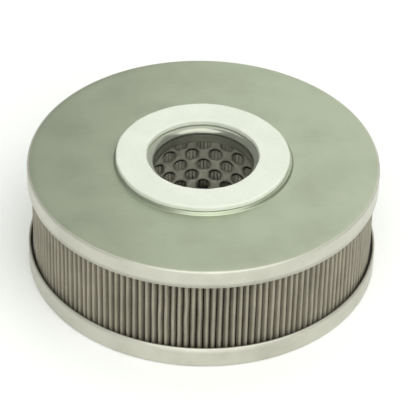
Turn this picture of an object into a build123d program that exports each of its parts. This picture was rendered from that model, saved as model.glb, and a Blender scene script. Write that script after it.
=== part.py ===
from build123d import *

import os
from math import acos, atan2, cos, degrees, hypot, radians, sin

# Round pleated wire-mesh filter element between two drawn end caps.
# Millimetres, +Z up, origin at the centre of the bottom cap's underside.

# End caps, drawn from one sheet thickness
CAP_RADIUS = 75.0
CAP_SHEET = 0.8
RIM_HEIGHT = 50.4
RIM_ROUND = 0.9
TOP_SKIRT = 8.2
BOTTOM_SKIRT = 9.6

# Gasket seat pressed up round the opening, and a recess pressed up in the bottom cap
SEAT_RADIUS = 37.5
RECESS_RADIUS = 37.0
PRESS_DEPTH = 1.3
PRESS_SLOPE = 0.7
PRESS_ROUND = 0.5

# Collar turned down into the opening
BORE_RADIUS = 20.7
BORE_ROUND = 3.0
NECK_LENGTH = 3.8

# Sealing gasket on its film of adhesive
GASKET_OUTER_RADIUS = 37.0
GASKET_INNER_RADIUS = 23.9
GASKET_THICKNESS = 2.1
GASKET_EDGE_ROUND = 0.4
ADHESIVE_THICKNESS = 0.1
ADHESIVE_INSET = 0.6

# Resin beds that hold the pleats and the core in each cap
POTTING_DEPTH = 4.0
POTTING_INNER_RADIUS = 39.0
POTTING_EDGE_ROUND = 0.6
CORE_EMBED = 2.0

# Perforated core tube
CORE_INNER_RADIUS = 40.0
CORE_SHEET = 0.9
HOLE_DIAMETER = 5.5
HOLES_PER_ROW = 24
HOLE_ROWS = 7
FIRST_ROW_HEIGHT = 6.4
ROW_PITCH = 5.7

# Pleated mesh pack: crests outside, folds against the core
PLEATS = 164
CREST_TIP_RADIUS = 73.3
FOLD_TIP_RADIUS = 41.45
CREST_BEND = 0.68
FOLD_BEND = 0.06
OUTER_MESH = 0.24
FILTER_MESH = 0.12
INNER_MESH = 0.20
LAYER_GAP = 0.02

# Folded clip over the two free ends of the pack, at the back
CLIP_SHEET = 0.35
CLIP_DEPTH = 5.0
CLIP_ROUND = 0.28
CLIP_CLEARANCE = 0.03
SEAM_ANGLE = 90.0

# Heights that follow from the sizes above
seat_top = RIM_HEIGHT + PRESS_DEPTH
neck_bottom = seat_top - BORE_ROUND - NECK_LENGTH
inner_radius = CAP_RADIUS - CAP_SHEET
bed_top = CAP_SHEET + POTTING_DEPTH
bed_bottom = RIM_HEIGHT - CAP_SHEET - POTTING_DEPTH
pack_height = bed_bottom - bed_top
core_radius = CORE_INNER_RADIUS + CORE_SHEET
pack_thickness = OUTER_MESH + FILTER_MESH + INNER_MESH + 2 * LAYER_GAP
crest_ring = CREST_TIP_RADIUS - CREST_BEND
fold_ring = FOLD_TIP_RADIUS + FOLD_BEND + pack_thickness

os.makedirs("parts", exist_ok=True)


def save(builder, name):
    """Label a finished piece and write it as a STEP file of the same name."""
    builder.part.label = name
    export_step(builder.part, f"parts/{name}.step")


def at(radius, angle):
    """Point in plan at a radius and an angle in degrees."""
    return (radius * cos(radians(angle)), radius * sin(radians(angle)))


def from_centre(centre, radius, angle):
    """Point in plan at a radius and an angle in degrees about any centre."""
    x, y = at(radius, angle)
    return (centre[0] + x, centre[1] + y)


# Top end cap: skirt, flat annulus, raised gasket seat and turned-down collar
with BuildPart() as top_end_cap:
    with BuildSketch(Plane.XZ):
        with BuildLine():
            FilletPolyline(
                (CAP_RADIUS, RIM_HEIGHT - TOP_SKIRT),
                (CAP_RADIUS, RIM_HEIGHT),
                (SEAT_RADIUS + PRESS_SLOPE, RIM_HEIGHT),
                (SEAT_RADIUS, seat_top),
                (BORE_RADIUS, seat_top),
                (BORE_RADIUS, neck_bottom),
                radius=(RIM_ROUND, PRESS_ROUND, PRESS_ROUND, BORE_ROUND),
            )
            offset(amount=CAP_SHEET, side=Side.LEFT)
        make_face()
    revolve(axis=Axis.Z)
save(top_end_cap, "top_end_cap")


# Bottom end cap: closed disc with a shallow recess and a deeper skirt
with BuildPart() as bottom_end_cap:
    with BuildSketch(Plane.XZ):
        with BuildLine():
            FilletPolyline(
                (CAP_RADIUS, BOTTOM_SKIRT),
                (CAP_RADIUS, 0),
                (RECESS_RADIUS + PRESS_SLOPE, 0),
                (RECESS_RADIUS, PRESS_DEPTH),
                (0, PRESS_DEPTH),
                radius=(RIM_ROUND, PRESS_ROUND, PRESS_ROUND),
            )
            offset(amount=CAP_SHEET, side=Side.RIGHT)
        make_face()
    revolve(axis=Axis.Z)
save(bottom_end_cap, "bottom_end_cap")


# Film of adhesive between the seat and the gasket
with BuildPart() as gasket_adhesive:
    with BuildSketch(Plane.XY.offset(seat_top)):
        Circle(GASKET_OUTER_RADIUS - ADHESIVE_INSET)
        Circle(GASKET_INNER_RADIUS + ADHESIVE_INSET, mode=Mode.SUBTRACT)
    extrude(amount=ADHESIVE_THICKNESS)
save(gasket_adhesive, "gasket_adhesive")


# Flat sealing gasket
with BuildPart() as sealing_gasket:
    with BuildSketch(Plane.XY.offset(seat_top + ADHESIVE_THICKNESS)):
        Circle(GASKET_OUTER_RADIUS)
        Circle(GASKET_INNER_RADIUS, mode=Mode.SUBTRACT)
    extrude(amount=GASKET_THICKNESS)
    fillet(sealing_gasket.edges().group_by(Axis.Z)[-1], radius=GASKET_EDGE_ROUND)
save(sealing_gasket, "sealing_gasket")


# Resin bed in the top cap, with the groove that takes the core tube
with BuildPart() as top_potting:
    with BuildSketch(Plane.XY.offset(bed_bottom)):
        Circle(inner_radius)
        Circle(POTTING_INNER_RADIUS, mode=Mode.SUBTRACT)
    extrude(amount=POTTING_DEPTH)
    top_corner = top_potting.edges().group_by(Axis.Z)[-1].sort_by(SortBy.RADIUS)[-1]
    fillet(top_corner, radius=POTTING_EDGE_ROUND)
    with BuildSketch(Plane.XY.offset(bed_bottom)):
        Circle(core_radius)
        Circle(CORE_INNER_RADIUS, mode=Mode.SUBTRACT)
    extrude(amount=CORE_EMBED, mode=Mode.SUBTRACT)
save(top_potting, "top_potting")


# Resin bed in the bottom cap, with the same groove
with BuildPart() as bottom_potting:
    with BuildSketch(Plane.XY.offset(bed_top)):
        Circle(inner_radius)
        Circle(POTTING_INNER_RADIUS, mode=Mode.SUBTRACT)
    extrude(amount=-POTTING_DEPTH)
    bottom_corner = bottom_potting.edges().group_by(Axis.Z)[0].sort_by(SortBy.RADIUS)[-1]
    fillet(bottom_corner, radius=POTTING_EDGE_ROUND)
    with BuildSketch(Plane.XY.offset(bed_top)):
        Circle(core_radius)
        Circle(CORE_INNER_RADIUS, mode=Mode.SUBTRACT)
    extrude(amount=-CORE_EMBED, mode=Mode.SUBTRACT)
save(bottom_potting, "bottom_potting")


# Core tube: rolled from perforated sheet, rows of holes staggered by half a pitch
with BuildPart() as core_tube:
    with BuildSketch(Plane.XY.offset(bed_top - CORE_EMBED)):
        Circle(core_radius)
        Circle(CORE_INNER_RADIUS, mode=Mode.SUBTRACT)
    extrude(amount=pack_height + 2 * CORE_EMBED)
    for row in range(HOLE_ROWS):
        stagger = 180 / HOLES_PER_ROW * (row % 2)
        with Locations(Plane.XY.offset(FIRST_ROW_HEIGHT + ROW_PITCH * row)):
            with PolarLocations(core_radius, HOLES_PER_ROW, start_angle=stagger):
                punch_length = 4 * CORE_SHEET
                Cylinder(HOLE_DIAMETER / 2, punch_length, rotation=(0, 90, 0), mode=Mode.SUBTRACT)
save(core_tube, "core_tube")


def pleat_line(depth):
    """Edges of the pleat line lying at a depth below the pack's outer face, and its ends.

    Every crest is an arc of radius CREST_BEND - depth and every fold an arc of radius
    FOLD_BEND + depth, so all depths share their centres and the flanks stay parallel.
    The line starts and stops on either side of the seam, where the crest is left out.
    """
    half_step = 180 / PLEATS
    across = fold_ring * sin(radians(half_step))
    inward = crest_ring - fold_ring * cos(radians(half_step))
    bends = CREST_BEND + FOLD_BEND
    reach = hypot(across, inward)
    flank_normal = 180 - degrees(atan2(across, inward)) - degrees(acos(bends / reach))

    def on_crest(crest_angle, side):
        centre = at(crest_ring, crest_angle)
        return from_centre(centre, CREST_BEND - depth, crest_angle + side * flank_normal)

    def on_fold(crest_angle, side):
        centre = at(fold_ring, crest_angle + side * half_step)
        direction = crest_angle + side * flank_normal + 180
        return from_centre(centre, FOLD_BEND + depth, direction)

    edges = []
    for pleat in range(PLEATS):
        crest_angle = SEAM_ANGLE + 2 * half_step * pleat
        next_angle = crest_angle + 2 * half_step
        fold_tip = at(fold_ring - FOLD_BEND - depth, crest_angle + half_step)
        crest_tip = at(crest_ring + CREST_BEND - depth, next_angle)
        fold_start = on_fold(crest_angle, 1)
        fold_end = on_fold(next_angle, -1)
        edges.append(Edge.make_line(on_crest(crest_angle, 1), fold_start))
        edges.append(Edge.make_three_point_arc(fold_start, fold_tip, fold_end))
        edges.append(Edge.make_line(fold_end, on_crest(next_angle, -1)))
        if pleat < PLEATS - 1:
            crest = (on_crest(next_angle, -1), crest_tip, on_crest(next_angle, 1))
            edges.append(Edge.make_three_point_arc(*crest))
    return edges, on_crest(SEAM_ANGLE, 1), on_crest(SEAM_ANGLE, -1)


def pleated_layer(outer_depth, thickness):
    """One pleated sheet as a solid, its outer face at a depth in the pack."""
    outer_edges, outer_start, outer_end = pleat_line(outer_depth)
    inner_edges, inner_start, inner_end = pleat_line(outer_depth + thickness)
    free_ends = [
        Edge.make_line(outer_start, inner_start),
        Edge.make_line(outer_end, inner_end),
    ]
    with BuildPart() as layer:
        with BuildSketch(Plane.XY.offset(bed_top)):
            make_face(outer_edges + inner_edges + free_ends)
        extrude(amount=pack_height)
    return layer


# The three pleated sheets, from the outside in
filter_depth = OUTER_MESH + LAYER_GAP
inner_depth = filter_depth + FILTER_MESH + LAYER_GAP

outer_support_mesh = pleated_layer(0, OUTER_MESH)
save(outer_support_mesh, "outer_support_mesh")

filter_mesh = pleated_layer(filter_depth, FILTER_MESH)
save(filter_mesh, "filter_mesh")

inner_support_mesh = pleated_layer(inner_depth, INNER_MESH)
save(inner_support_mesh, "inner_support_mesh")


# Seam clip: a folded strip closed over the two free ends of the pack
with BuildPart() as pleat_seam_clip:
    slot_width = 2 * (CREST_BEND + CLIP_CLEARANCE)
    clip_width = slot_width + 2 * CLIP_SHEET
    slot_end = crest_ring + 2 * CLIP_CLEARANCE
    with BuildSketch(Plane.XY.offset(bed_top)):
        with Locations(at(slot_end + CLIP_SHEET, SEAM_ANGLE)):
            Rectangle(clip_width, CLIP_DEPTH, align=(Align.CENTER, Align.MAX))
        with Locations(at(slot_end, SEAM_ANGLE)):
            Rectangle(slot_width, CLIP_DEPTH, align=(Align.CENTER, Align.MAX), mode=Mode.SUBTRACT)
    extrude(amount=pack_height)
    outer_corners = pleat_seam_clip.edges().filter_by(Axis.Z).group_by(Axis.Y)[-1]
    fillet(outer_corners, radius=CLIP_ROUND)
save(pleat_seam_clip, "pleat_seam_clip")
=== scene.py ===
import math

import bmesh
import bpy
import numpy as np
from mathutils import Matrix, Vector


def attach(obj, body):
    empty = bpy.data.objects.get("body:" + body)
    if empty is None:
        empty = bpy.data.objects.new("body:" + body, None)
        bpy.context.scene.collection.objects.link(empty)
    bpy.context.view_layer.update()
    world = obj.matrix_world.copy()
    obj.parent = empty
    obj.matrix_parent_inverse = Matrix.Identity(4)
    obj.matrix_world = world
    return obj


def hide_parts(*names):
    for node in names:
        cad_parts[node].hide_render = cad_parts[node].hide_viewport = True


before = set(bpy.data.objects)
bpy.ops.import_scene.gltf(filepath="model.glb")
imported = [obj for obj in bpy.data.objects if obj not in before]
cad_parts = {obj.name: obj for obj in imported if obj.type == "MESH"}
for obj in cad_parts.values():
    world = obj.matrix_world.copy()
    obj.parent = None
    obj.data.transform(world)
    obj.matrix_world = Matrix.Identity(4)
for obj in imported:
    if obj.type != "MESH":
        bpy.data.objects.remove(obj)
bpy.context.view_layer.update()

MM = 0.001

# ---------------------------------------------------------------- sizes, millimetres
CAP_RADIUS = 75.0
CAP_SHEET = 0.8
RIM_HEIGHT = 50.4
RIM_ROUND = 0.9
TOP_SKIRT = 8.2
BOTTOM_SKIRT = 9.6
SEAT_RADIUS = 37.5
RECESS_RADIUS = 37.0
PRESS_DEPTH = 1.3
PRESS_SLOPE = 0.7
PRESS_ROUND = 0.5
BORE_RADIUS = 20.7
BORE_ROUND = 3.0
NECK_LENGTH = 3.8
GASKET_OUTER = 37.0
GASKET_INNER = 23.9
GASKET_BOTTOM = 51.8
GASKET_TOP = 53.9
GASKET_OFFSET = -0.4
FELT_LUMPS = 0.05
FELT_TUFTS = 0.03
FELT_DROOP = 0.07
RIM_BAND = 1.2
FINISH_MARGIN = 0.1
SHEET_WAVE = 0.09
WAVE_INNER = 41.0
WAVE_OUTER = 73.0
WAVE_FADE = 8.0

CORE_INNER = 40.0
HOLE_DIAMETER = 5.5
HOLES_PER_ROW = 24
FIRST_ROW = 6.4
ROW_PITCH = 5.7

PLEATS = 164
CREST_TIP = 73.3
FOLD_TIP = 41.45
CREST_BEND = 0.68
FOLD_BEND = 0.06
OUTER_MESH = 0.24
FILTER_MESH = 0.12
INNER_MESH = 0.20
LAYER_GAP = 0.02
SEAM_ANGLE = 90.0
# Where the two walls of a valley are drawn together: share of the way in, share of the gap closed.
FLANK_BULGE = ((0.03, 0.45), (0.06, 0.74), (0.13, 0.78), (0.32, 0.40))
PACK_BOTTOM = 4.8
PACK_TOP = 45.6

seat_top = RIM_HEIGHT + PRESS_DEPTH
neck_bottom = seat_top - BORE_ROUND - NECK_LENGTH
pack_thickness = OUTER_MESH + FILTER_MESH + INNER_MESH + 2 * LAYER_GAP
crest_ring = CREST_TIP - CREST_BEND
fold_ring = FOLD_TIP + FOLD_BEND + pack_thickness

# ---------------------------------------------------------------- camera and light
CAMERA_ELEVATION = 38.0
CAMERA_ROLL = 1.4
CAMERA_DISTANCE = 1.078
CAMERA_LENS = 216.9
CAMERA_SENSOR = 36.0
CAMERA_SHIFT = 0.0122
AIM_HEIGHT = 0.025
LIGHT_TINT = (0.98, 1.0, 0.96)
WORLD_STRENGTH = 0.45
FLOOR_HALF = 3.0
FLOOR_LEVEL = -0.0002
LATHE_STEPS = 360
# Each soft box: position, the point it faces, width and height, all in metres, and its watts.
LIGHTS = {
    "overhead": ((0.15, 0.1, 1.3), (0, 0, 0), (1.6, 1.2), 6.4),
    "key": ((0.25, -1.05, 1.1), (0, 0, 0.03), (2.4, 1.4), 19.5),
    "front_card": ((0.15, -1.5, 0.20), (0, 0, 0.05), (1.4, 0.16), 2.6),
    "side_panel": ((0.25, 0.50, 0.40), (0.03, 0, 0.05), (0.64, 0.5), 0.58),
}


# ---------------------------------------------------------------- node helpers
def add(tree, kind, inputs=None, **settings):
    """Add a shader node. An input given as a socket is linked, any other value is set."""
    made = tree.nodes.new("ShaderNode" + kind)
    for key, value in settings.items():
        setattr(made, key, value)
    for key, value in (inputs or {}).items():
        if isinstance(value, bpy.types.NodeSocket):
            tree.links.new(value, made.inputs[key])
        else:
            made.inputs[key].default_value = value
    return made


def maths(tree, operation, first, second=0.0, third=0.0):
    """One math node's result."""
    inputs = {0: first, 1: second, 2: third}
    return add(tree, "Math", inputs, operation=operation).outputs[0]


def blend(tree, factor, first, second, blend_type="MIX"):
    """Mix two colours."""
    inputs = {0: factor, 6: first, 7: second}
    return add(tree, "Mix", inputs, data_type="RGBA", blend_type=blend_type).outputs[2]


def noise(tree, vector, scale, detail=4.0, roughness=0.5):
    """A noise texture's value, with scale in features per metre."""
    inputs = {"Vector": vector, "Scale": scale, "Detail": detail, "Roughness": roughness}
    return add(tree, "TexNoise", inputs).outputs["Fac"]


def stretched(tree, vector, scale):
    """Coordinates scaled by axis, for grain that runs one way."""
    return add(tree, "Mapping", {"Vector": vector, "Scale": scale}).outputs[0]


def ramp(tree, value, low, high, to_low=0.0, to_high=1.0):
    """Map a value's range to another, clamped."""
    inputs = {0: value, 1: low, 2: high, 3: to_low, 4: to_high}
    return add(tree, "MapRange", inputs).outputs[0]


def bump(tree, height, distance, strength=1.0, normal=None):
    """A bump from a height, with distance in metres."""
    inputs = {"Height": height, "Distance": distance, "Strength": strength}
    if normal is not None:
        inputs["Normal"] = normal
    return add(tree, "Bump", inputs).outputs[0]


def new_material(name):
    """An empty material with its Principled shader."""
    material = bpy.data.materials.new(name)
    material.use_nodes = True
    tree = material.node_tree
    shader = tree.nodes["Principled BSDF"]
    return material, tree, shader


def wire(tree, shader, **sockets):
    """Link sockets to the shader's inputs, with underscores in place of spaces."""
    for key, socket in sockets.items():
        tree.links.new(socket, shader.inputs[key.replace("_", " ")])


# ---------------------------------------------------------------- materials
def sheet_steel(name, tone, stain, roughness, grain_scale, coordinates="Object", metallic=1.0):
    """Rolled or drawn stainless sheet with a grain, faint stains and fine scratches."""
    material, tree, shader = new_material(name)
    shader.inputs["Metallic"].default_value = metallic
    spot = add(tree, "TexCoord").outputs["Object"]
    grain_spot = spot
    if coordinates == "UV":
        grain_spot = add(tree, "UVMap", uv_map="surface").outputs[0]
    grain = noise(tree, stretched(tree, grain_spot, grain_scale), 1.0, 6.0, 0.65)
    cloud = noise(tree, spot, 38.0, 5.0, 0.6)
    broad = noise(tree, spot, 9.0, 2.0, 0.5)
    stains = ramp(tree, cloud, 0.40, 0.72)
    colour = blend(tree, stains, tone, stain)
    shade = ramp(tree, grain, 0.3, 0.7, 0.96, 1.03)
    colour = blend(tree, 1.0, colour, shade, "MULTIPLY")
    rough = maths(tree, "MULTIPLY_ADD", grain, 0.16, roughness - 0.08)
    rough = maths(tree, "MULTIPLY_ADD", broad, 0.10, maths(tree, "SUBTRACT", rough, 0.05))
    normal = bump(tree, grain, 0.00001, 0.3)
    wire(tree, shader, Base_Color=colour, Roughness=rough, Normal=normal)
    return material


def punched_steel():
    """Dull perforated sheet, rolled over round each punched hole, with painted shade on the rolled edge and
    a near-black painted shadow along each hole's upper edge.
    """
    material, tree, shader = new_material("core_steel")
    spot = add(tree, "TexCoord").outputs["Object"]
    split = add(tree, "SeparateXYZ", {0: spot})
    angle = maths(tree, "ARCTAN2", split.outputs[1], split.outputs[0])
    height = maths(tree, "DIVIDE", split.outputs[2], MM)
    distances, heights = [], []
    for row in (0, 1):
        column = maths(tree, "MULTIPLY_ADD", angle, HOLES_PER_ROW / (2 * math.pi), 0.5 - row / 2)
        across = maths(tree, "SUBTRACT", maths(tree, "FRACT", column), 0.5)
        across = maths(tree, "MULTIPLY", across, 2 * math.pi * CORE_INNER / HOLES_PER_ROW)
        level = maths(tree, "SUBTRACT", height, FIRST_ROW + ROW_PITCH * row)
        level = maths(tree, "MULTIPLY_ADD", level, 0.5 / ROW_PITCH, 0.5)
        along = maths(tree, "SUBTRACT", maths(tree, "FRACT", level), 0.5)
        along = maths(tree, "MULTIPLY", along, 2 * ROW_PITCH)
        squares = maths(tree, "MULTIPLY_ADD", across, across, maths(tree, "MULTIPLY", along, along))
        distances.append(maths(tree, "SQRT", squares))
        heights.append(along)
    nearest = maths(tree, "MINIMUM", distances[0], distances[1])
    is_even = maths(tree, "LESS_THAN", distances[0], distances[1])
    above = add(tree, "Mix", {0: is_even, 2: heights[1], 3: heights[0]}, data_type="FLOAT").outputs[0]
    # A band along the upper side of each hole, where a painted shadow goes.
    upper = ramp(tree, above, 0.0, HOLE_DIAMETER / 2)
    hole_band = ramp(tree, nearest, HOLE_DIAMETER / 2 + 0.5, HOLE_DIAMETER / 2 + 1.4, 1.0, 0.0)
    painted_hole_shadow = maths(tree, "MULTIPLY", upper, hole_band)
    edge = ramp(tree, nearest, HOLE_DIAMETER / 2 - 0.1, HOLE_DIAMETER / 2 + 0.75, 1.0, 0.0)
    rolled = maths(tree, "MULTIPLY", edge, edge)
    cloud = ramp(tree, noise(tree, spot, 240.0, 5.0, 0.65), 0.35, 0.7)
    colour = blend(tree, cloud, (0.90, 0.89, 0.78, 1), (0.58, 0.57, 0.48, 1))
    # Painted shade: the rolled edge is darkened a little, and the painted shadow at each hole's upper edge
    # goes near black.
    colour = blend(tree, maths(tree, "MULTIPLY_ADD", rolled, 0.15, painted_hole_shadow), colour, (0.03, 0.027, 0.02, 1))
    rough = ramp(tree, cloud, 0.0, 1.0, 0.40, 0.56)
    scratches = noise(tree, stretched(tree, spot, (500.0, 500.0, 2600.0)), 1.0, 5.0, 0.6)
    normal = bump(tree, maths(tree, "SUBTRACT", 1.0, rolled), 0.0008, 1.0)
    normal = bump(tree, scratches, 0.00002, 0.3, normal)
    # Under the painted shadow the sheet loses its metal sheen.
    unshadowed = maths(tree, "SUBTRACT", 1.0, painted_hole_shadow)
    wire(tree, shader, Base_Color=colour, Roughness=rough, Normal=normal)
    wire(tree, shader, Metallic=maths(tree, "MULTIPLY", unshadowed, 0.45))
    wire(tree, shader, Specular_IOR_Level=maths(tree, "MULTIPLY", unshadowed, 0.5))
    return material


def wire_cloth(name, tone, shadow, pitch, relief):
    """Plain-woven wire cloth: wires over and under each other, with painted shade in the openings."""
    material, tree, shader = new_material(name)
    shader.inputs["Metallic"].default_value = 0.30
    shader.inputs["Specular IOR Level"].default_value = 0.3
    surface = add(tree, "UVMap", uv_map="surface").outputs[0]
    split = add(tree, "SeparateXYZ", {0: surface})
    across = maths(tree, "MULTIPLY", split.outputs[0], math.pi / (pitch * MM))
    along = maths(tree, "MULTIPLY", split.outputs[1], math.pi / (pitch * MM))
    warp = maths(tree, "ABSOLUTE", maths(tree, "SINE", across))
    weft = maths(tree, "ABSOLUTE", maths(tree, "SINE", along))
    over = maths(tree, "MULTIPLY", maths(tree, "COSINE", across), maths(tree, "COSINE", along))
    warp_top = maths(tree, "MULTIPLY_ADD", over, 0.35, warp)
    weft_top = maths(tree, "MULTIPLY_ADD", over, -0.35, weft)
    height = maths(tree, "MAXIMUM", warp_top, weft_top)
    opening = ramp(tree, height, 0.35, 0.8)
    spot = add(tree, "TexCoord").outputs["Object"]
    soil = ramp(tree, noise(tree, spot, 60.0, 4.0, 0.6), 0.35, 0.75, 0.82, 1.10)
    streak = stretched(tree, surface, (900.0, 60.0, 1.0))
    streaks = ramp(tree, noise(tree, streak, 1.0, 3.0, 0.6), 0.3, 0.7, 0.90, 1.08)
    # Painted shade: the low places between the wires take the shadow colour.
    colour = blend(tree, opening, shadow, tone)
    colour = blend(tree, 1.0, colour, soil, "MULTIPLY")
    colour = blend(tree, 1.0, colour, streaks, "MULTIPLY")
    rough = ramp(tree, height, 0.3, 1.0, 0.75, 0.46)
    normal = bump(tree, height, relief * MM, 0.8)
    wire(tree, shader, Base_Color=colour, Roughness=rough, Normal=normal)
    return material


def felt():
    """White pressed felt: matted fibres, a soft sheen and faint soiling."""
    material, tree, shader = new_material("felt")
    shader.inputs["Sheen Weight"].default_value = 0.25
    shader.inputs["Sheen Roughness"].default_value = 0.6
    shader.inputs["Specular IOR Level"].default_value = 0.25
    spot = add(tree, "TexCoord").outputs["Object"]
    fibres = noise(tree, stretched(tree, spot, (2600.0, 700.0, 2600.0)), 1.0, 6.0, 0.7)
    crossing = noise(tree, stretched(tree, spot, (700.0, 2600.0, 2600.0)), 1.0, 6.0, 0.7)
    matted = maths(tree, "MAXIMUM", fibres, crossing)
    lumps = noise(tree, spot, 260.0, 3.0, 0.5)
    soil = ramp(tree, noise(tree, spot, 70.0, 4.0, 0.6), 0.35, 0.75)
    colour = blend(tree, soil, (0.72, 0.745, 0.66, 1), (0.66, 0.685, 0.60, 1))
    shade = ramp(tree, matted, 0.4, 0.75, 0.94, 1.04)
    colour = blend(tree, 1.0, colour, shade, "MULTIPLY")
    rough = ramp(tree, matted, 0.3, 0.8, 0.98, 0.82)
    normal = bump(tree, lumps, 0.0002, 0.5)
    normal = bump(tree, matted, 0.0001, 0.7, normal)
    wire(tree, shader, Base_Color=colour, Roughness=rough, Normal=normal)
    return material


def resin(name, tone, other):
    """Cast resin with slow colour changes and small pores."""
    material, tree, shader = new_material(name)
    spot = add(tree, "TexCoord").outputs["Object"]
    flow = noise(tree, spot, 45.0, 3.0, 0.5)
    pores = add(tree, "TexVoronoi", {"Vector": spot, "Scale": 700.0}).outputs["Distance"]
    colour = blend(tree, flow, tone, other)
    rough = ramp(tree, flow, 0.3, 0.7, 0.32, 0.50)
    normal = bump(tree, ramp(tree, pores, 0.0, 0.25), 0.0001, 0.4)
    wire(tree, shader, Base_Color=colour, Roughness=rough, Normal=normal)
    return material


def plain_floor():
    """Pale studio floor with a barely visible paper tooth."""
    material, tree, shader = new_material("floor")
    spot = add(tree, "TexCoord").outputs["Object"]
    tooth = noise(tree, spot, 900.0, 3.0, 0.5)
    colour = blend(tree, tooth, (0.97, 0.97, 0.97, 1), (0.99, 0.99, 0.99, 1))
    rough = ramp(tree, tooth, 0.3, 0.7, 0.85, 0.95)
    wire(tree, shader, Base_Color=colour, Roughness=rough)
    return material


top_steel = sheet_steel(
    "top_steel", (0.45, 0.49, 0.375, 1), (0.385, 0.415, 0.32, 1), 0.36, (90.0, 2600.0, 400.0)
)
skirt_steel = sheet_steel(
    "skirt_steel", (0.56, 0.555, 0.48, 1), (0.46, 0.45, 0.385, 1), 0.40, (60.0, 3200.0, 1.0), "UV", 0.6
)
collar_steel = sheet_steel(
    "collar_steel", (0.36, 0.37, 0.31, 1), (0.30, 0.31, 0.26, 1), 0.20, (60.0, 1500.0, 1.0), "UV", 0.85
)
# The base's inner face is a much paler copy of the sheet steel: painted light inside the core.
lit_inner_steel = sheet_steel(
    "lit_inner_steel", (0.80, 0.80, 0.72, 1), (0.66, 0.65, 0.58, 1), 0.50, (200.0, 2600.0, 400.0), metallic=0.5
)
clip_steel = sheet_steel(
    "clip_steel", (0.40, 0.385, 0.32, 1), (0.30, 0.285, 0.23, 1), 0.46, (900.0, 900.0, 60.0), metallic=0.8
)
neck_steel = sheet_steel(
    "neck_steel", (0.50, 0.50, 0.42, 1), (0.38, 0.38, 0.31, 1), 0.42, (200.0, 2600.0, 400.0), metallic=0.85
)
core_steel = punched_steel()
support_cloth = wire_cloth("support_cloth", (0.335, 0.31, 0.245, 1), (0.20, 0.18, 0.135, 1), 0.42, 0.06)
filter_cloth = wire_cloth("filter_cloth", (0.40, 0.37, 0.30, 1), (0.20, 0.17, 0.13, 1), 0.20, 0.03)
# The lining is a much paler copy of the support cloth: painted light inside the core, seen through the
# holes.
lit_lining_cloth = wire_cloth("lit_lining_cloth", (0.95, 0.93, 0.83, 1), (0.70, 0.67, 0.57, 1), 0.36, 0.05)
white_felt = felt()
potting = resin("potting", (0.06, 0.055, 0.045, 1), (0.10, 0.09, 0.07, 1))
glue = resin("glue", (0.62, 0.60, 0.50, 1), (0.52, 0.50, 0.40, 1))
floor_paper = plain_floor()


# ---------------------------------------------------------------- mesh helpers
def mesh_piece(name, points, faces, surface, materials, face_materials=None):
    """A smooth-shaded object from points in millimetres, with its UV map called surface."""
    mesh = bpy.data.meshes.new(name)
    mesh.from_pydata((np.asarray(points) * MM).tolist(), [], faces)
    layer = mesh.uv_layers.new(name="surface")
    corners = np.empty(len(mesh.loops), np.int32)
    mesh.loops.foreach_get("vertex_index", corners)
    layer.data.foreach_set("uv", (np.asarray(surface)[corners] * MM).astype(np.float32).ravel())
    for material in materials:
        mesh.materials.append(material)
    if face_materials is not None:
        mesh.polygons.foreach_set("material_index", np.asarray(face_materials, np.int32))
    piece = bpy.data.objects.new(name, mesh)
    bpy.context.scene.collection.objects.link(piece)
    tidy = bmesh.new()
    tidy.from_mesh(mesh)
    bmesh.ops.remove_doubles(tidy, verts=tidy.verts, dist=1e-7)
    bmesh.ops.recalc_face_normals(tidy, faces=tidy.faces)
    tidy.to_mesh(mesh)
    tidy.free()
    mesh.polygons.foreach_set("use_smooth", [True] * len(mesh.polygons))
    return piece


def rounded(corners, radii, steps=8):
    """A polyline through corners, each inner one replaced by an arc of its radius."""
    path = [np.array(corners[0], float)]
    for before, corner, after, radius in zip(corners, corners[1:], corners[2:], radii):
        before, corner, after = (np.array(p, float) for p in (before, corner, after))
        back = (before - corner) / np.linalg.norm(before - corner)
        ahead = (after - corner) / np.linalg.norm(after - corner)
        half = math.acos(np.clip(back @ ahead, -1, 1)) / 2
        centre = corner + (back + ahead) / np.linalg.norm(back + ahead) * radius / math.sin(half)
        start = corner + back * radius / math.tan(half) - centre
        end = corner + ahead * radius / math.tan(half) - centre
        turn = math.pi - 2 * half
        for step in np.linspace(0, 1, steps + 1):
            arc = (math.sin((1 - step) * turn) * start + math.sin(step * turn) * end) / math.sin(turn)
            path.append(centre + arc)
    path.append(np.array(corners[-1], float))
    return np.array(path)


def refined(path, longest):
    """The same polyline with no stretch longer than a limit."""
    out = [path[0]]
    for start, end in zip(path, path[1:]):
        count = max(1, math.ceil(np.linalg.norm(end - start) / longest))
        for step in range(1, count + 1):
            out.append(start + (end - start) * step / count)
    return np.array(out)


def thickened(path, thickness, side):
    """A closed outline: the path, then its offset to one side on the way back."""
    tangent = np.gradient(path, axis=0)
    tangent /= np.linalg.norm(tangent, axis=1, keepdims=True)
    normal = np.stack([-tangent[:, 1], tangent[:, 0]], axis=1) * side
    return np.vstack([path, (path + normal * thickness)[::-1]])


def lathe(name, outline, segments, materials, bend=None, material_of=None):
    """Turn a closed outline of (radius, height) about the axis."""
    count = len(outline)
    angles = np.arange(segments + 1) * 2 * math.pi / segments
    radius, height = outline[:, 0], outline[:, 1]
    points = np.empty((segments + 1, count, 3))
    points[:, :, 0] = np.cos(angles)[:, None] * radius
    points[:, :, 1] = np.sin(angles)[:, None] * radius
    points[:, :, 2] = height
    points[-1] = points[0]
    if bend is not None:
        points = bend(points)
    length = np.concatenate([[0], np.cumsum(np.linalg.norm(np.diff(outline, axis=0), axis=1))])
    surface = np.empty((segments + 1, count, 2))
    surface[:, :, 0] = angles[:, None] * radius.max()
    surface[:, :, 1] = length
    faces, slots = [], []
    for column in range(segments):
        for row in range(count):
            after = (row + 1) % count
            here, there = column * count, (column + 1) * count
            faces.append((here + row, there + row, there + after, here + after))
            slots.append(material_of(outline[row], outline[after]) if material_of else 0)
    return mesh_piece(name, points.reshape(-1, 3), faces, surface.reshape(-1, 2), materials, slots)


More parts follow.
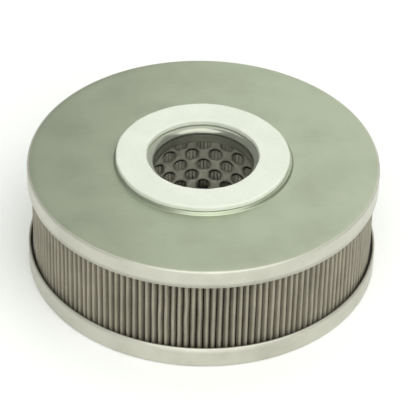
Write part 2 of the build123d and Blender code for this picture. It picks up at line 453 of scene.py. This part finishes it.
def smooth_waves(points, seed, wavelength, count=14):
    """Slow random waves over plan positions, about -1 to 1."""
    local = np.random.default_rng(seed)
    total = np.zeros(points.shape[:-1])
    for _ in range(count):
        angle = local.uniform(0, 2 * math.pi)
        length = wavelength * local.uniform(0.7, 1.6)
        phase = local.uniform(0, 2 * math.pi)
        along = points[..., 0] * math.cos(angle) + points[..., 1] * math.sin(angle)
        total += np.sin(along * 2 * math.pi / length + phase)
    return total / math.sqrt(count / 2) / 2


def place(piece, slot, *nodes):
    """Let a piece stand for CAD nodes: hang it under the root and hide the nodes. The slot is not used."""
    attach(piece, "root")
    if nodes:
        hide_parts(*nodes)
    return piece


# ---------------------------------------------------------------- end caps
def sheet_waves(points):
    """The slight oil-canning of a drawn cap's flat face."""
    radius = np.hypot(points[..., 0], points[..., 1])
    past_seat = np.clip((radius - WAVE_INNER) / WAVE_FADE, 0, 1)
    before_rim = np.clip((WAVE_OUTER - radius) / WAVE_FADE, 0, 1)
    is_face = points[..., 2] > RIM_HEIGHT - TOP_SKIRT
    points[..., 2] += SHEET_WAVE * smooth_waves(points, 3, 70.0) * past_seat * before_rim * is_face
    return points


def cap_material(first, second):
    """Drawn skirt and rim, rolled flat face, and a burnished collar with a matt neck."""
    if min(first[0], second[0]) > CAP_RADIUS - RIM_BAND:
        return 1
    is_outside = max(first[0], second[0]) > BORE_RADIUS + BORE_ROUND + FINISH_MARGIN
    if is_outside or first[1] < neck_bottom - FINISH_MARGIN:
        return 0
    return 2 if max(first[1], second[1]) > seat_top - BORE_ROUND else 3


def make_top_cap():
    """Skirt, rim, flat face, raised seat and turned-down collar, as one sheet."""
    path = rounded(
        [
            (CAP_RADIUS, RIM_HEIGHT - TOP_SKIRT),
            (CAP_RADIUS, RIM_HEIGHT),
            (SEAT_RADIUS + PRESS_SLOPE, RIM_HEIGHT),
            (SEAT_RADIUS, seat_top),
            (BORE_RADIUS, seat_top),
            (BORE_RADIUS, neck_bottom),
        ],
        [RIM_ROUND, PRESS_ROUND, PRESS_ROUND, BORE_ROUND],
    )
    outline = thickened(refined(path, 2.5), CAP_SHEET, 1)
    finishes = [top_steel, skirt_steel, collar_steel, neck_steel]
    piece = lathe("top_cap", outline, LATHE_STEPS, finishes, sheet_waves, cap_material)
    return place(piece, "top_cap_steel", "top_end_cap")


def base_material(first, second):
    """Outside as on the top cap, with a matt inner face in a much paler steel, painted light inside the
    core.
    """
    is_inside = min(first[1], second[1]) > CAP_SHEET / 2 and max(first[0], second[0]) < RECESS_RADIUS + 1
    is_upper = min(first[1], second[1]) > PRESS_DEPTH + CAP_SHEET / 2
    return 2 if is_inside and is_upper else cap_material(first, second)


def make_bottom_cap():
    """Skirt, rim and closed base with a shallow recess, as one sheet."""
    path = rounded(
        [
            (CAP_RADIUS, BOTTOM_SKIRT),
            (CAP_RADIUS, 0),
            (RECESS_RADIUS + PRESS_SLOPE, 0),
            (RECESS_RADIUS, PRESS_DEPTH),
            (0, PRESS_DEPTH),
        ],
        [RIM_ROUND, PRESS_ROUND, PRESS_ROUND],
    )
    outline = thickened(refined(path, 3.0), CAP_SHEET, -1)
    finishes = [top_steel, skirt_steel, lit_inner_steel]
    piece = lathe("bottom_cap", outline, LATHE_STEPS, finishes, None, base_material)
    return place(piece, "bottom_cap_steel", "bottom_end_cap")


# ---------------------------------------------------------------- felt ring
def felt_lumps(points):
    """An uneven ring laid slightly off centre: soft lumps on top and a wavy outline."""
    angle = np.arctan2(points[..., 1], points[..., 0])
    outline = 0.10 * np.sin(5 * angle + 0.4) + 0.06 * np.sin(13 * angle + 2.0) + 0.04 * np.sin(29 * angle)
    radius = np.hypot(points[..., 0], points[..., 1])
    points[..., 0] += np.cos(angle) * outline + GASKET_OFFSET
    points[..., 1] += np.sin(angle) * outline
    top = np.clip((points[..., 2] - GASKET_BOTTOM) / (GASKET_TOP - GASKET_BOTTOM), 0, 1)
    lumps = FELT_LUMPS * smooth_waves(points, 11, 6.0) + FELT_TUFTS * smooth_waves(points, 12, 2.2)
    points[..., 2] += (lumps - FELT_LUMPS) * top
    edge = (radius < GASKET_INNER + 0.5) | (radius > GASKET_OUTER - 0.5)
    points[..., 2] -= FELT_DROOP * edge * (points[..., 2] < GASKET_BOTTOM + 0.3)
    return points


def make_gasket():
    """The soft ring on the seat."""
    corners = [
        (GASKET_INNER + 1, GASKET_BOTTOM),
        (GASKET_OUTER, GASKET_BOTTOM),
        (GASKET_OUTER, GASKET_TOP),
        (GASKET_INNER, GASKET_TOP),
        (GASKET_INNER, GASKET_BOTTOM),
        (GASKET_INNER + 0.9, GASKET_BOTTOM),
    ]
    outline = refined(rounded(corners, [0.15, 0.8, 0.7, 0.15], 6), 0.7)
    piece = lathe("felt_ring", outline, LATHE_STEPS, [white_felt], felt_lumps)
    return place(piece, "gasket_felt", "sealing_gasket")


# ---------------------------------------------------------------- pleated cloth
def crest_wander(height):
    """How far each crest strays sideways and inwards at a height, in millimetres."""
    local = np.random.default_rng(21)
    level = (height - PACK_BOTTOM) / (PACK_TOP - PACK_BOTTOM)
    angle = (SEAM_ANGLE + np.arange(PLEATS) * 360 / PLEATS + 180) % 360 - 180
    crushed = np.exp(-(((angle + 95) / 12.0) ** 2))
    free = np.sin(math.pi * level) ** 0.6
    set_off = local.uniform(-0.14, 0.14, PLEATS)
    lean = local.uniform(-0.22, 0.22, PLEATS)
    wave = local.uniform(-0.08, 0.08, PLEATS) + crushed * local.uniform(-0.20, 0.20, PLEATS)
    phase = local.uniform(0, 2 * math.pi, PLEATS)
    turns = local.uniform(0.6, 1.4, PLEATS) + crushed
    sideways = set_off + lean * (level - 0.5) + free * wave * np.sin(2 * math.pi * turns * level + phase)
    inwards = local.uniform(0, 0.18, PLEATS) + crushed * free * local.uniform(0, 0.35, PLEATS)
    inwards = inwards + 0.04 * (1 + np.sin(2 * math.pi * level + phase))
    sideways[0] = 0
    inwards[0] = 0
    return sideways, inwards


def near(angle, reference):
    """The same direction, as the angle within half a turn of a reference."""
    return (angle - reference + math.pi) % (2 * math.pi) - math.pi + reference


def pleat_path(depth, height, crest_steps, fold_steps):
    """Plan points of the pleat line at a depth in the pack, from seam to seam."""
    step = 2 * math.pi / PLEATS
    angle = math.radians(SEAM_ANGLE) + np.arange(PLEATS) * step
    sideways, inwards = crest_wander(height)
    outward = np.stack([np.cos(angle), np.sin(angle)], 1)
    around = np.stack([-np.sin(angle), np.cos(angle)], 1)
    crest = outward * (crest_ring - inwards)[:, None] + around * sideways[:, None]
    fold_angle = angle + step / 2
    fold = np.stack([np.cos(fold_angle), np.sin(fold_angle)], 1) * fold_ring
    crest_bend, fold_bend = CREST_BEND - depth, FOLD_BEND + depth

    def normal_angle(to_fold, side):
        reach = np.linalg.norm(to_fold, axis=1)
        aim = np.arctan2(to_fold[:, 1], to_fold[:, 0])
        return aim - side * np.arccos((crest_bend + fold_bend) / reach)

    leaving = normal_angle(fold - crest, 1)
    arriving = normal_angle(np.roll(fold, 1, axis=0) - crest, -1)
    out_normal = np.stack([np.cos(leaving), np.sin(leaving)], 1)
    in_normal = np.roll(np.stack([np.cos(arriving), np.sin(arriving)], 1), -1, axis=0)
    next_crest = np.roll(crest, -1, axis=0)
    closed = np.ones((PLEATS, 1))
    closed[[0, -1]] = 0

    def flanks(share, closing):
        """Points on both walls of each valley, drawn together as sprung cloth touches."""
        def wall(top, normal, crest_radius, fold_radius):
            start = top + normal * crest_radius
            return start + (fold - normal * fold_radius - start) * share

        far_wall = wall(next_crest, in_normal, CREST_BEND, FOLD_BEND)
        near_wall = wall(crest, out_normal, CREST_BEND, FOLD_BEND)
        shift = (far_wall - near_wall) * closing / 2 * closed
        down = wall(crest, out_normal, crest_bend, fold_bend) + shift
        up = wall(next_crest, in_normal, crest_bend, fold_bend) - shift
        return down, up

    walls = [flanks(share, closing) for share, closing in FLANK_BULGE]
    points = []
    for pleat in range(PLEATS):
        following = (pleat + 1) % PLEATS
        towards = angle[pleat]
        first = near(arriving[pleat], towards)
        last = near(leaving[pleat], towards)
        if pleat == 0:
            first = last
        for share in np.linspace(0, 1, crest_steps + 1 if pleat else 1):
            turn = first + (last - first) * share
            points.append(crest[pleat] + crest_bend * np.array([math.cos(turn), math.sin(turn)]))
        points.extend(down[pleat] for down, _ in walls)
        inward = fold_angle[pleat] + math.pi
        enter = near(leaving[pleat] + math.pi, inward)
        leave = near(arriving[following] + math.pi, inward)
        for share in np.linspace(0, 1, fold_steps + 1):
            turn = enter + (leave - enter) * share
            points.append(fold[pleat] + fold_bend * np.array([math.cos(turn), math.sin(turn)]))
        points.extend(up[pleat] for _, up in reversed(walls))
    turn = arriving[0]
    points.append(crest[0] + crest_bend * np.array([math.cos(turn), math.sin(turn)]))
    return np.array(points)


def pleated_cloth(name, depth, thickness, material, crest_steps, fold_steps, rows):
    """One pleated sheet: its two faces swept up through the pack's height."""
    heights = np.linspace(PACK_BOTTOM, PACK_TOP, rows)
    points, surface = [], []
    for height in heights:
        outer = pleat_path(depth, height, crest_steps, fold_steps)
        inner = pleat_path(depth + thickness, height, crest_steps, fold_steps)
        length = np.concatenate([[0], np.cumsum(np.linalg.norm(np.diff(outer, axis=0), axis=1))])
        for face in (outer, inner):
            points.append(np.column_stack([face, np.full(len(face), height)]))
            surface.append(np.column_stack([length, np.full(len(face), height)]))
    count = len(points[0])
    faces = []
    for row in range(rows - 1):
        outer, inner = 2 * row * count, (2 * row + 1) * count
        up = 2 * count
        for i in range(count - 1):
            faces.append((outer + i, outer + i + 1, outer + i + 1 + up, outer + i + up))
            faces.append((inner + i + 1, inner + i, inner + i + up, inner + i + 1 + up))
        for i in (0, count - 1):
            faces.append((outer + i, inner + i, inner + i + up, outer + i + up))
    for row in (0, rows - 1):
        outer, inner = 2 * row * count, (2 * row + 1) * count
        for i in range(count - 1):
            faces.append((outer + i, inner + i, inner + i + 1, outer + i + 1))
    return mesh_piece(name, np.vstack(points), faces, np.vstack(surface), [material])


def make_pleats():
    """Coarse cloth, fine cloth and coarse cloth, from the outside in."""
    filter_depth = OUTER_MESH + LAYER_GAP
    inner_depth = filter_depth + FILTER_MESH + LAYER_GAP
    outer = pleated_cloth("outer_cloth", 0.0, OUTER_MESH, support_cloth, 8, 2, 13)
    place(outer, "support_mesh_wire", "outer_support_mesh")
    middle = pleated_cloth("filter_cloth", filter_depth, FILTER_MESH, filter_cloth, 4, 2, 7)
    place(middle, "filter_mesh_wire", "filter_mesh")
    # The inner layer takes the paler lining cloth, painted light inside the core.
    inner = pleated_cloth("inner_cloth", inner_depth, INNER_MESH, lit_lining_cloth, 2, 6, 7)
    place(inner, "support_mesh_wire", "inner_support_mesh")


# ---------------------------------------------------------------- CAD nodes that stay
def paint(name, material):
    """Give a carried-over CAD node its material in every slot."""
    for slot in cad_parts[name].material_slots:
        slot.material = material


make_top_cap()
make_bottom_cap()
make_gasket()
make_pleats()
FINISHES = {
    "core_tube": core_steel,
    "pleat_seam_clip": clip_steel,
    "top_potting": potting,
    "bottom_potting": potting,
    "gasket_adhesive": glue,
}
for node_name, finish in FINISHES.items():
    paint(node_name, finish)


# ---------------------------------------------------------------- stage, light and camera
def make_floor():
    """A wide floor just under the base, so that the two never share a plane."""
    signs = [(-1, -1), (1, -1), (1, 1), (-1, 1)]
    corners = [(x * FLOOR_HALF, y * FLOOR_HALF, FLOOR_LEVEL) for x, y in signs]
    mesh = bpy.data.meshes.new("floor")
    mesh.from_pydata(corners, [], [(0, 1, 2, 3)])
    mesh.materials.append(floor_paper)
    floor = bpy.data.objects.new("floor", mesh)
    bpy.context.scene.collection.objects.link(floor)


def area_light(name, position, target, size, power):
    """A soft box aimed at a point."""
    light = bpy.data.lights.new(name, "AREA")
    light.shape = "RECTANGLE"
    light.size, light.size_y = size
    light.energy = power
    light.color = LIGHT_TINT
    lamp = bpy.data.objects.new(name, light)
    lamp.location = position
    aim = Vector(target) - Vector(position)
    lamp.rotation_euler = aim.to_track_quat("-Z", "Y").to_euler()
    lamp.visible_camera = False
    bpy.context.scene.collection.objects.link(lamp)


def make_lights():
    """Even surroundings, a broad overhead and key, and two cards for the skirt and the back."""
    world = bpy.data.worlds.new("studio")
    world.use_nodes = True
    background = world.node_tree.nodes["Background"]
    background.inputs["Color"].default_value = (*LIGHT_TINT, 1)
    background.inputs["Strength"].default_value = WORLD_STRENGTH
    bpy.context.scene.world = world
    for name, (position, target, size, power) in LIGHTS.items():
        area_light(name, position, target, size, power)


def make_camera():
    """Camera on the -Y side, tipped by its roll, looking at the middle of the element."""
    tilt = math.radians(CAMERA_ELEVATION)
    roll = math.radians(CAMERA_ROLL)
    back = Vector((0, -math.cos(tilt), math.sin(tilt)))
    right = Vector((1, 0, 0))
    upright = back.cross(right)
    rolled_right = math.cos(roll) * right + math.sin(roll) * upright
    rolled_up = -math.sin(roll) * right + math.cos(roll) * upright
    data = bpy.data.cameras.new("camera")
    data.sensor_width = CAMERA_SENSOR
    data.lens = CAMERA_LENS
    data.shift_x = CAMERA_SHIFT
    camera = bpy.data.objects.new("camera", data)
    turn = Matrix((rolled_right, rolled_up, back)).transposed().to_4x4()
    camera.matrix_world = Matrix.Translation(Vector((0, 0, AIM_HEIGHT)) + back * CAMERA_DISTANCE) @ turn
    bpy.context.scene.collection.objects.link(camera)
    bpy.context.scene.camera = camera


make_floor()
make_lights()
make_camera()
bpy.context.scene.view_settings.view_transform = "Standard"


bpy.context.view_layer.update()
